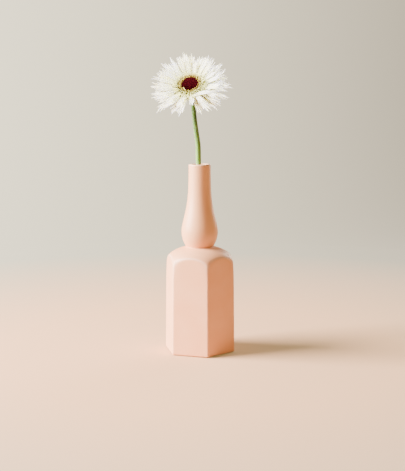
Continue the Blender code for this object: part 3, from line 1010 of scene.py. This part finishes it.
@dataclass
class RayWhorls:
    """All rays: one in the place of each petal's solid, narrower ones between them, and two that stray.

    Lengths are in metres.
    """

    head: HeadFrame
    seed: int = 7
    widths: dict[Whorl, float] = field(
        default_factory=lambda: {Whorl.OUTER: 7.0 * MM, Whorl.MIDDLE: 6.6 * MM, Whorl.INNER: 5.8 * MM}
    )
    narrow_counts: dict[Whorl, int] = field(
        default_factory=lambda: {Whorl.OUTER: 24, Whorl.MIDDLE: 23, Whorl.INNER: 18}
    )
    narrow_width: float = 0.85
    narrow_lift: float = 0.9 * MM
    narrow_start: float = -88 * DEG
    bend: float = 14 * DEG
    # Marks round the head, each a bearing and a spread in degrees, and how much of it there is there: tufts
    # and bays are shares of the length, droops are degrees that older rays hang, and blushes are shares of
    # the warmer tint.
    tufts: Marks = (
        (112, 11, 0.13),
        (83, 9, -0.22),
        (126, 5, -0.26),
        (149, 7, 0.12),
        (26, 9, -0.07),
        (0, 16, 0.03),
        (-36, 26, 0.17),
        (-27, 7, 0.12),
        (-46, 11, -0.1),
        (-61, 6, 0.1),
        (-68, 8, -0.3),
        (-111, 6, -0.2),
        (-125, 30, 0.04),
    )
    droops: Marks = ((-42, 34, 7),)
    blushes: Marks = ((186, 14, 0.35), (92, 34, 0.34))
    # The stem shows below the head, so narrow rays in front of it stay short.
    gap_bearing: float = -74 * DEG
    gap_half: float = 11 * DEG
    gap_length: float = 0.5
    tissue: PetalTissue = field(default_factory=PetalTissue)

    def nodes(self, whorl: Whorl) -> list[str]:
        """Names of the solids of one whorl, in order."""
        return sorted(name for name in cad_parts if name.startswith(whorl.value))

    def seat(self, node: str) -> Seat:
        """Where a petal's solid lies in the head's frame.

        Args:
            node: the solid's name.

        Returns:
            The seat for the ray in its place.
        """
        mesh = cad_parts[node].data
        places = np.empty(len(mesh.vertices) * 3, np.float32)
        mesh.vertices.foreach_get("co", places)
        places = self.head.from_row(places.reshape(-1, 3).astype(float))
        radius = np.hypot(places[:, 0], places[:, 1])
        base = places[radius < radius.min() + 0.6 * MM].mean(axis=0)
        tip = places[radius > radius.max() - 0.6 * MM].mean(axis=0)
        first, last = math.hypot(*base[:2]), math.hypot(*tip[:2])
        chord = math.atan2(tip[2] - base[2], last - first)
        length = math.hypot(tip[2] - base[2], last - first) / math.cos(self.bend / 4)
        return Seat(math.atan2(base[1], base[0]), first, base[2], chord + self.bend / 2, length)

    def dressed(self, seat: Seat, width: float, chance: np.random.Generator) -> Ray:
        """A ray with its own small differences.

        Args:
            seat: where it grows, with its length before that of its tuft.
            width: its width before its own difference.
            chance: source of the differences.

        Returns:
            The ray.
        """
        return Ray(
            bearing=seat.bearing,
            start=(seat.radius, seat.height),
            length=seat.length * (1 + marked(seat.bearing, self.tufts)),
            width=width * chance.uniform(0.88, 1.1),
            rise=seat.rise - marked(seat.bearing, self.droops) * DEG,
            bend=self.bend,
            curl=(4 + 9 * math.sin(seat.bearing) + chance.uniform(-9, 9)) * DEG,
            sweep=chance.uniform(-0.06, 0.06),
            twist=chance.uniform(-14, 14) * DEG,
            lobes=int(chance.choice([3, 3, 4, 4, 5])),
            split=chance.uniform(0.6, 0.76),
            fan=chance.uniform(8, 15) * DEG,
            hue=float(np.clip(chance.normal(0.24, 0.14) + marked(seat.bearing, self.blushes), 0, 0.8)),
        )

    def build(self) -> list[bpy.types.Object]:
        """Makes a piece for each ray and returns them."""
        chance = np.random.default_rng(self.seed)
        material = self.tissue.material()
        pieces = []
        for whorl in Whorl:
            nodes = self.nodes(whorl)
            seats = [self.seat(node) for node in nodes]
            for node, seat in zip(nodes, seats):
                ray = self.dressed(seat, self.widths[whorl], chance).surface(chance)
                pieces.append(self.head.add(node.replace("petal", "ray"), ray, material, Slot.PETAL, node))
            pieces += self.build_narrow(whorl, seats, material, chance)
        return pieces + self.build_strays(material, chance)

    def build_narrow(self, whorl: Whorl, seats: list[Seat], material: bpy.types.Material,
                     chance: np.random.Generator) -> list[bpy.types.Object]:
        """Makes the narrower rays that stand between those of one whorl, a little higher on the receptacle.

        Args:
            whorl: the whorl.
            seats: where its petals' solids lie.
            material: the rays' material.
            chance: source of their differences.

        Returns:
            The narrower rays.
        """
        mean = Seat(*np.mean([astuple(seat) for seat in seats], axis=0))
        count = self.narrow_counts[whorl]
        name = whorl.value.replace("petal", "narrow_ray")
        pieces = []
        for i in range(count):
            bearing = self.narrow_start + 2 * math.pi * (i + 0.5) / count + chance.uniform(-4, 4) * DEG
            rise = mean.rise + (4 + 6 * math.sin(bearing) + chance.uniform(-3, 3)) * DEG
            length = mean.length * chance.uniform(0.86, 1.02)
            if abs(turn_between(bearing, self.gap_bearing)) < self.gap_half:
                length *= self.gap_length
            seat = Seat(bearing, mean.radius, mean.height + self.narrow_lift, rise, length)
            ray = self.dressed(seat, self.widths[whorl] * self.narrow_width, chance).surface(chance)
            pieces.append(self.head.add(f"{name}_{i + 1:02d}", ray, material, Slot.PETAL))
        return pieces

    def build_strays(self, material: bpy.types.Material,
                     chance: np.random.Generator) -> list[bpy.types.Object]:
        """Makes two rays that left their whorl: one stands alone, and one lies across others below the disc.

        Args:
            material: the rays' material.
            chance: source of their lobes' differences.

        Returns:
            The two rays.
        """
        strays = {
            "upright_ray": Ray(131 * DEG, (14.9 * MM, -1.0 * MM), 31.5 * MM, 3.6 * MM, 33 * DEG,
                               bend=10 * DEG, lobes=1, split=0.7),
            "crossing_ray": Ray(5 * DEG, (1.5 * MM, 1.4 * MM), 36 * MM, 6.0 * MM, 24 * DEG,
                                bend=30 * DEG, aside=-20.6 * MM, lobes=5, split=0.58, fan=12 * DEG),
        }
        return [
            self.head.add(name, ray.surface(chance), material, Slot.PETAL) for name, ray in strays.items()
        ]


def spiral(count: int, inner: float, outer: float) -> tuple[np.ndarray, np.ndarray]:
    """Places on a sunflower spiral: each turns on by the golden angle, and the squared radius grows evenly.

    Args:
        count: number of places.
        inner: radius of the first.
        outer: radius of the last.

    Returns:
        Their radii and bearings.
    """
    number = np.arange(count)
    radius = np.sqrt(inner**2 + (outer**2 - inner**2) * number / max(count - 1, 1))
    return radius, number * math.pi * (3 - math.sqrt(5))


@dataclass
class Stalks:
    """Many small shapes that stand on the disc, each a tube along a curved line.

    Attributes:
        root: (n, 3) places of their feet in the head's frame.
        lean: (n,) angles from upright at the foot, outwards.
        arch: (n,) further lean from foot to tip.
        bearing: (n,) bearings that they lean along.
        length: (n,) lengths.
        widths: half-widths in millimetres, across and outwards, at even shares of the length.
        sides: number of points round each.
    """

    root: np.ndarray
    lean: np.ndarray
    arch: np.ndarray
    bearing: np.ndarray
    length: np.ndarray
    widths: Widths
    sides: int = 6

    def surface(self) -> Surface:
        """All the stalks as one surface in the head's frame.

        Each line's angle grows evenly from lean to lean plus arch, and the line is the running sum of its
        sine and cosine. The section is an ellipse across it.
        """
        half_across, half_out = np.array(self.widths)[..., None] * MM
        rows = len(half_across)
        share = np.linspace(0, 1, rows)
        angle = self.lean[:, None] + self.arch[:, None] * share
        step = self.length[:, None] / (rows - 1)
        out = np.cumsum(np.sin(angle) * step, axis=1) - np.sin(angle[:, :1]) * step
        up = np.cumsum(np.cos(angle) * step, axis=1) - np.cos(angle[:, :1]) * step
        turn = np.linspace(0, 2 * math.pi, self.sides, endpoint=False)
        across, depth = half_across * np.cos(turn), half_out * np.sin(turn)
        radial = out[..., None] - depth * np.cos(angle)[..., None]
        height = up[..., None] + depth * np.sin(angle)[..., None]
        cosine, sine = np.cos(self.bearing)[:, None, None], np.sin(self.bearing)[:, None, None]
        points = np.stack([radial * cosine - across * sine, radial * sine + across * cosine, height], -1)
        points = points + self.root[:, None, None]
        faces = repeated_faces(tube_faces(rows, self.sides), rows * self.sides, len(self.root))
        along = np.broadcast_to(share[None, :, None], height.shape)
        return Surface(points.reshape(-1, 3), faces, {"along": along.ravel()})


@dataclass
class Disc:
    """The flower's disc: maroon buds, a ring of open golden florets, and a cream ring of trans florets.

    Lengths are in metres.
    """

    head: HeadFrame
    seed: int = 21
    bud_count: int = 230
    bud_radius: float = 10.0 * MM
    dome: float = 2.4 * MM
    dome_power: float = 2.4
    flesh_lift: float = 0.7 * MM
    steps: int = 64
    open_count: int = 108
    trans_count: int = 272
    anther_count: int = 168
    # Inner radius, outer radius and height of the cushions that the two rings stand in.
    open_cushion: tuple[float, float, float] = (10.1 * MM, 12.8 * MM, 1.8 * MM)
    trans_cushion: tuple[float, float, float] = (12.9 * MM, 14.4 * MM, 2.0 * MM)
    bud_widths: Widths = ((0.30, 0.50, 0.56, 0.50, 0.30, 0.04),) * 2
    open_widths: Widths = ((0.28, 0.30, 0.34, 0.48, 0.30, 0.05), (0.28, 0.30, 0.34, 0.40, 0.26, 0.05))
    trans_widths: Widths = (
        (0.30, 0.36, 0.50, 0.66, 0.62, 0.36, 0.05),
        (0.20, 0.20, 0.16, 0.14, 0.12, 0.10, 0.05),
    )
    anther_widths: Widths = ((0.12, 0.12, 0.16, 0.42, 0.40, 0.08),) * 2
    buds: FloretTissue = FloretTissue("maroon_bud_tissue", "#180104", "#43040d", "#280208", 0.8, 1.12, 0.0)
    gold: FloretTissue = FloretTissue("golden_anther_tissue", "#93802f", "#d6c05a", "#7f5824")
    cream: FloretTissue = FloretTissue("cream_floret_tissue", "#b4b552", "#f0efaa", "#d6d582")
    olive: FloretTissue = FloretTissue("olive_anther_tissue", "#6a6620", "#3a300c", "#5c4a14")

    def build(self) -> list[bpy.types.Object]:
        """Makes the pieces of the disc and returns them."""
        chance = np.random.default_rng(self.seed)
        return [self.build_buds(chance), self.build_open_florets(chance), *self.build_trans_florets(chance)]

    def place(self, name: str, surfaces: list[Surface], tissue: FloretTissue, slot: Slot,
              node: str | None = None) -> bpy.types.Object:
        """Makes one piece of several surfaces in the head's frame.

        Args:
            name: the piece's name.
            surfaces: its surfaces.
            tissue: its finish.
            slot: the record's slot that it stands in.
            node: the solid that it replaces, if there is one.

        Returns:
            The new object.
        """
        return self.head.add(name, joined(surfaces), tissue.material(), slot, node)

    def cushion(self, inner: float, outer: float, rise: float, crown: float = 0.0) -> Surface:
        """The flesh that the florets stand in: a turned ring, or a dome where inner is zero.

        Its section goes along the base, up the outer side and back over the top, whose height is the rise,
        plus the crown less a power of the share of the outer radius.

        Args:
            inner: inner radius.
            outer: outer radius.
            rise: height of its upper side at the outer radius.
            crown: what its middle has over that.

        Returns:
            The ring in the head's frame.
        """
        radius = np.linspace(max(inner, 0.05 * MM), outer, 10)
        top = rise + crown * (1 - (radius[::-1] / outer) ** self.dome_power)
        radii = np.concatenate([radius, radius[::-1]])
        heights = np.concatenate([0 * radius + self.head.clearance, top])
        bearing = np.linspace(0, 2 * math.pi, self.steps, endpoint=False)
        points = around(radii[:, None], bearing, heights[:, None])
        faces = tube_faces(len(radii), self.steps)
        if inner > 0:
            first = np.arange(self.steps)
            after = np.roll(first, -1)
            up = self.steps * (len(radii) - 1)
            faces = [faces[0], np.stack([first + up, after + up, after, first], -1)]
        return Surface(points.reshape(-1, 3), faces, {"along": np.zeros(points[..., 0].size)})

    def ring(self, count: int, rows: int, radius: float, step: float, jitter: float,
             chance: np.random.Generator) -> tuple[np.ndarray, np.ndarray, np.ndarray]:
        """Places round the disc that take turns in a few rows.

        Args:
            count: number of places.
            rows: number of rows.
            radius: the first row's radius, in millimetres.
            step: what each row adds to it.
            jitter: spread of the bearings, in radians.
            chance: source of the jitter.

        Returns:
            Their row numbers, bearings, and radii in metres.
        """
        number = np.arange(count)
        bearing = number * 2 * math.pi / count + chance.normal(0, jitter, count)
        return number % rows, bearing, (radius + step * (number % rows)) * MM

    def build_buds(self, chance: np.random.Generator) -> bpy.types.Object:
        """The buds: pointed capsules on a low dome, which lean outwards more towards the rim.

        Args:
            chance: source of their small differences.

        Returns:
            Their piece.
        """
        radius, bearing = spiral(self.bud_count, 0.4 * MM, self.bud_radius)
        share = radius / self.bud_radius
        height = 0.2 * MM + self.dome * (1 - share**self.dome_power)
        lean = 36 * DEG * share**2 + chance.normal(0, 4 * DEG, len(radius))
        length = (2.9 + 1.5 * share**3 + chance.uniform(-0.3, 0.3, len(radius))) * MM
        root = around(radius, bearing, height)
        stalks = Stalks(root, lean, lean * 0.25, bearing, length, self.bud_widths).surface()
        cushion = self.cushion(0.0, self.bud_radius, self.flesh_lift, self.dome)
        return self.place("disc_bud_spiral", [stalks, cushion], self.buds, Slot.BUD, "disc_buds")

    def build_open_florets(self, chance: np.random.Generator) -> bpy.types.Object:
        """The open florets: three close rings of slim golden tubes whose anthers stand up over the buds.

        Args:
            chance: source of their small differences.

        Returns:
            Their piece.
        """
        count = self.open_count
        row, bearing, radius = self.ring(count, 3, 10.5, 0.9, 0.02, chance)
        lean = (10 + 9 * row + chance.normal(0, 5, count)) * DEG
        # They stand taller at the head's top, and the trans florets cover them at its lower side.
        length = (5.7 + chance.uniform(-0.8, 0.7, count)) * MM * (0.9 + 0.26 * np.sin(bearing))
        root = around(radius, bearing, 0.4 * MM)
        stalks = Stalks(root, lean, lean * 0.6, bearing, length, self.open_widths).surface()
        cushion = self.cushion(*self.open_cushion)
        return self.place("open_floret_ring", [stalks, cushion], self.gold, Slot.ANTHER, "open_florets")

    def build_trans_florets(self, chance: np.random.Generator) -> list[bpy.types.Object]:
        """The trans florets: four rows of cream straps that arch outwards, with olive anthers among them.

        Args:
            chance: source of their small differences.

        Returns:
            The straps' piece and the anthers'.
        """
        count = self.trans_count
        row, bearing, radius = self.ring(count, 4, 13.0, 0.45, 0.02, chance)
        # They are longest at the head's lower side, and short at its top.
        grown = 1.12 + 0.42 * np.cos(bearing + 66 * DEG)
        lean = (12 + 10 * row + chance.normal(0, 5, count)) * DEG * grown
        arch = (34 + 6 * row + chance.normal(0, 9, count)) * DEG
        length = (7.0 + 0.3 * row + chance.uniform(-0.9, 0.9, count)) * MM * grown
        root = around(radius, bearing, 0.35 * MM)
        stalks = Stalks(root, lean, arch, bearing, length, self.trans_widths).surface()
        cushion = self.cushion(*self.trans_cushion)
        straps = self.place("trans_floret_straps", [stalks, cushion], self.cream, Slot.CREAM, "trans_florets")

        count = self.anther_count
        row, bearing, radius = self.ring(count, 3, 13.0, 0.6, 0.03, chance)
        grown = 1.06 + 0.34 * np.cos(bearing + 80 * DEG)
        lean = (6 + 22 * row + chance.normal(0, 7, count)) * DEG * grown
        length = (6.4 + chance.uniform(-0.9, 0.8, count)) * MM * grown
        root = around(radius, bearing, 0.35 * MM)
        stalks = Stalks(root, lean, 22 * DEG + 0 * lean, bearing, length, self.anther_widths).surface()
        return [straps, self.place("trans_floret_anthers", [stalks], self.olive, Slot.CREAM)]


@dataclass(frozen=True)
class BractRow:
    """A row of bracts, with angles on the cup's quarter ellipse, 90 degrees being its lowest place.

    Attributes:
        lift: the bracts' distance from the cup, in metres.
        width: their width at the foot, in metres.
        start: angle where they start.
        reach: angle where they end; past zero, they would stand out beside the drum.
        count: their number, where they don't stand for solids.
        shift: how far the row is turned, in half steps from bract to bract.
    """

    lift: float
    width: float
    start: float
    reach: float
    count: int = 0
    shift: float = 0.0


@dataclass
class Involucre:
    """The green underside of the head: the receptacle and three overlapping rows of bracts on it.

    Lengths are in metres.
    """

    head: HeadFrame
    steps: int = 64
    rim: float = 0.6 * MM
    thickness: float = 0.5 * MM
    keel: float = 0.25 * MM
    main: BractRow = BractRow(0.6 * MM, 4.0 * MM, 68 * DEG, 8 * DEG)
    lower: tuple[BractRow, ...] = (
        BractRow(1.3 * MM, 3.2 * MM, 72 * DEG, 16 * DEG, 18, 0.5),
        BractRow(1.9 * MM, 2.8 * MM, 78 * DEG, 34 * DEG, 15, 1.5),
    )
    green: FloretTissue = FloretTissue("leafy_bract_tissue", "#7f8f43", "#5f6f31", "#8c9a4e", 0.55, 1.4, 0.08)
    flesh: FloretTissue = FloretTissue("receptacle_flesh", "#8f9c52", "#8f9c52", "#7c8a44", 0.6, 1.4, 0.08)

    def receptacle(self) -> Surface:
        """The receptacle: a drum with a broken rim over a quarter ellipse that narrows to the stem."""
        head = self.head
        turn = np.linspace(0, math.pi / 2, 14)
        across = head.receptacle_radius - head.neck_radius
        cup_r = head.neck_radius + across * np.cos(turn)
        cup_z = -head.receptacle_side - head.receptacle_cup * np.sin(turn)
        radius = np.concatenate([cup_r[::-1], [head.receptacle_radius, head.receptacle_radius - self.rim]])
        height = np.concatenate([cup_z[::-1], [-self.rim, 0.0]])
        bearing = np.linspace(0, 2 * math.pi, self.steps, endpoint=False)
        points = around(radius[:, None], bearing, height[:, None])
        along = np.repeat(smoothstep(cup_z[-1], 0.0, height), self.steps)
        return Surface(points.reshape(-1, 3), tube_faces(len(radius), self.steps), {"along": along})

    def bract(self, bearing: float, row: BractRow) -> Surface:
        """A bract: a pointed strap that follows the cup's quarter ellipse at a distance.

        Its half-width falls with the power 1.6 of its length to a point, and its section is a flat lens.

        Args:
            bearing: its bearing.
            row: its row.

        Returns:
            The bract in the head's frame.
        """
        head = self.head
        along = np.linspace(0, 1, 12)
        turn = row.start + (row.reach - row.start) * along
        across = head.receptacle_radius - head.neck_radius + row.lift
        down = head.receptacle_cup + row.lift
        side, over = flat_section(0.5)
        half = row.width / 2 * (1 - 0.9 * along**1.6)
        thick = self.thickness / 2 * (1 - 0.5 * along)
        # The keel: the middle stands out a little from the cup, so that the section isn't flat.
        out = thick[:, None] * over + self.keel * (1 - side**2)
        radius = head.neck_radius + (across + out) * np.cos(turn)[:, None]
        height = -head.receptacle_side - (down + out) * np.sin(turn)[:, None]
        sideways = half[:, None] * side
        cosine, sine = math.cos(bearing), math.sin(bearing)
        points = np.stack([radius * cosine - sideways * sine, radius * sine + sideways * cosine, height], -1)
        return Surface(points.reshape(-1, 3), tube_faces(12, 6), {"along": np.repeat(along, 6)})

    def build(self) -> None:
        """Makes the receptacle and the bracts: one for each solid, and closer rows between and over them."""
        self.head.add("green_receptacle", self.receptacle(), self.flesh.material(), Slot.BRACT, "receptacle")
        material = self.green.material()
        nodes = sorted(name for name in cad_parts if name.startswith("bract"))
        for i, node in enumerate(nodes):
            bract = self.bract(2 * math.pi * i / len(nodes), self.main)
            self.head.add(node.replace("bract", "main_bract"), bract, material, Slot.BRACT, node)
        for number, row in enumerate(self.lower, 1):
            bearings = (2 * np.arange(row.count) + row.shift) * math.pi / row.count
            bracts = joined([self.bract(bearing, row) for bearing in bearings])
            self.head.add(f"lower_bract_row_{number}", bracts, material, Slot.BRACT)


# ---------------------------------------------------------------- studio


@dataclass(frozen=True)
class SoftLight:
    """A square soft light that looks at the vase.

    Attributes:
        name: its name.
        bearing: its bearing from the camera's, to the right, in degrees.
        rise: its angle above the floor, in degrees.
        distance: from the vase, in metres.
        size: its side, in metres.
        power: in watts.
        colour: its colour.
    """

    name: str
    bearing: float
    rise: float
    distance: float
    size: float
    power: float
    colour: str


@dataclass
class Studio:
    """The plain studio: a pale floor with a curved wall, a camera, a soft window-like key from the left, a
    rim light from behind, and two fills that each reach their own pieces.

    Lengths are in metres.
    """
    azimuth: float = 17.5 * DEG
    distance: float = 1.27
    height: float = 0.3266
    aside: float = 3.5 * MM
    pitch: float = 0.139
    lens: float = 76.8
    sensor: float = 36.0
    floor_radius: float = 1.5
    wall_height: float = 2.4
    cove_radius: float = 0.55
    floor_inner: float = 0.4
    cove_rows: int = 16
    steps: int = 96
    paper: StudioPaper = field(default_factory=StudioPaper)
    key: SoftLight = SoftLight("key", -84, 24, 2.2, 1.4, 485.0, "#fff8f2")
    rim: SoftLight = SoftLight("rim", 146, 14, 2.0, 1.0, 36.0, "#fff0dc")
    bloom: SoftLight = SoftLight("bloom", 24, 18, 1.3, 0.6, 68.0, "#fffdf2")
    warm: SoftLight = SoftLight("fill", 95, 20, 2.0, 1.6, 11.0, "#f4c878")
    aim: tuple[float, float, float] = (0.0, 0.0, 0.2)
    sky: str = "#ffe2b6"
    sky_strength: float = 0.15

    def view_axes(self) -> tuple[np.ndarray, np.ndarray]:
        """The level directions to the camera's right and towards the camera."""
        cosine, sine = math.cos(self.azimuth), math.sin(self.azimuth)
        return np.array([cosine, sine, 0.0]), np.array([sine, -cosine, 0.0])

    def build(self) -> None:
        """Makes the camera, the lights and the stage."""
        right, towards = self.view_axes()
        data = bpy.data.cameras.new("camera")
        data.lens, data.sensor_width = self.lens, self.sensor
        camera = bpy.data.objects.new("camera", data)
        camera.location = towards * self.distance + right * self.aside + np.array([0, 0, self.height])
        camera.rotation_euler = (math.pi / 2 - self.pitch, 0.0, self.azimuth)
        bpy.context.scene.collection.objects.link(camera)
        bpy.context.scene.camera = camera
        self.add_light(self.key)
        self.add_light(self.rim)
        self.add_world()
        self.add_stage()

    def add_fills(self, bloom: list[bpy.types.Object], others: list[bpy.types.Object]) -> None:
        """Adds the two soft fills, each on its own pieces, as through a honeycomb grid.

        Args:
            bloom: the rays and the disc's pieces, which get a clear fill from the front.
            others: the pieces that get a warm fill from the right.
        """
        for soft, pieces in ((self.bloom, bloom), (self.warm, others)):
            light = self.add_light(soft)
            lit = bpy.data.collections.new(light.name)
            for piece in pieces:
                lit.objects.link(piece)
            light.light_linking.receiver_collection = lit

    def add_light(self, soft: SoftLight) -> bpy.types.Object:
        """Adds a soft light.

        Args:
            soft: what it is and where it stands.

        Returns:
            The light.
        """
        right, towards = self.view_axes()
        bearing, rise = soft.bearing * DEG, soft.rise * DEG
        level = right * math.sin(bearing) + towards * math.cos(bearing)
        data = bpy.data.lights.new(soft.name, "AREA")
        data.shape, data.size, data.energy = "SQUARE", soft.size, soft.power
        data.color = linear(soft.colour)[:3]
        light = bpy.data.objects.new(soft.name, data)
        away = level * math.cos(rise) + np.array([0, 0, math.sin(rise)])
        light.location = np.array(self.aim) + away * soft.distance
        yaw = math.atan2(level[1], level[0]) + math.pi / 2
        light.rotation_euler = (math.pi / 2 - rise, 0.0, yaw)
        bpy.context.scene.collection.objects.link(light)
        return light

    def add_world(self) -> None:
        """Sets an even, warm sky as the fill light."""
        world = bpy.data.worlds.new("studio_sky")
        world.use_nodes = True
        background = world.node_tree.nodes["Background"]
        background.inputs["Color"].default_value = linear(self.sky)
        background.inputs["Strength"].default_value = self.sky_strength
        bpy.context.scene.world = world

    def add_stage(self) -> None:
        """Adds the round floor, and the wall that rises from its rim in a quarter circle."""
        flat = np.array([self.floor_inner, self.floor_radius - self.cove_radius])
        turn = np.linspace(0, math.pi / 2, self.cove_rows)
        cove_r = self.floor_radius - self.cove_radius + self.cove_radius * np.sin(turn)
        cove_z = self.cove_radius * (1 - np.cos(turn))
        material = self.paper.material(self.view_axes()[0])
        floor = self.stage_piece("studio_floor", flat, 0 * flat, material)
        wall_r = np.concatenate([cove_r, [self.floor_radius]])
        wall_z = np.concatenate([cove_z, [self.wall_height]])
        wall = self.stage_piece("studio_wall", wall_r, wall_z, material)
        wall.visible_diffuse = wall.visible_glossy = wall.visible_shadow = False

    def stage_piece(self, name: str, radius: np.ndarray, height: np.ndarray,
                    material: bpy.types.Material) -> bpy.types.Object:
        """A turned sheet of studio paper that faces inwards and up, closed in the middle where it is level.

        Args:
            name: its name.
            radius: its profile's distances from the axis.
            height: its profile's heights.
            material: its material.

        Returns:
            The sheet.
        """
        bearing = np.linspace(0, 2 * math.pi, self.steps, endpoint=False)
        places = around(radius[:, None], bearing, height[:, None])
        sides, middle, _ = tube_faces(len(radius), self.steps)
        faces = [part[:, ::-1] for part in ([sides, middle] if height.max() == 0 else [sides])]
        mesh = bpy.data.meshes.new(name)
        mesh.from_pydata(places.reshape(-1, 3).tolist(), [], [f for part in faces for f in part.tolist()])
        mesh.shade_smooth()
        mesh.materials.append(material)
        piece = bpy.data.objects.new(name, mesh)
        bpy.context.scene.collection.objects.link(piece)
        return piece


def main() -> None:
    """Builds every part of the scene."""
    logging.basicConfig(level=logging.INFO, format="%(name)s: %(message)s")
    studio = Studio()
    studio.build()
    vase = Vase()
    stem = Stem(vase)
    head = HeadFrame(stem)
    Involucre(head).build()
    studio.add_fills(Disc(head).build() + RayWhorls(head).build(), [vase.build(), stem.build()])
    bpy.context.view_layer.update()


if __name__ == "__main__":
    main()
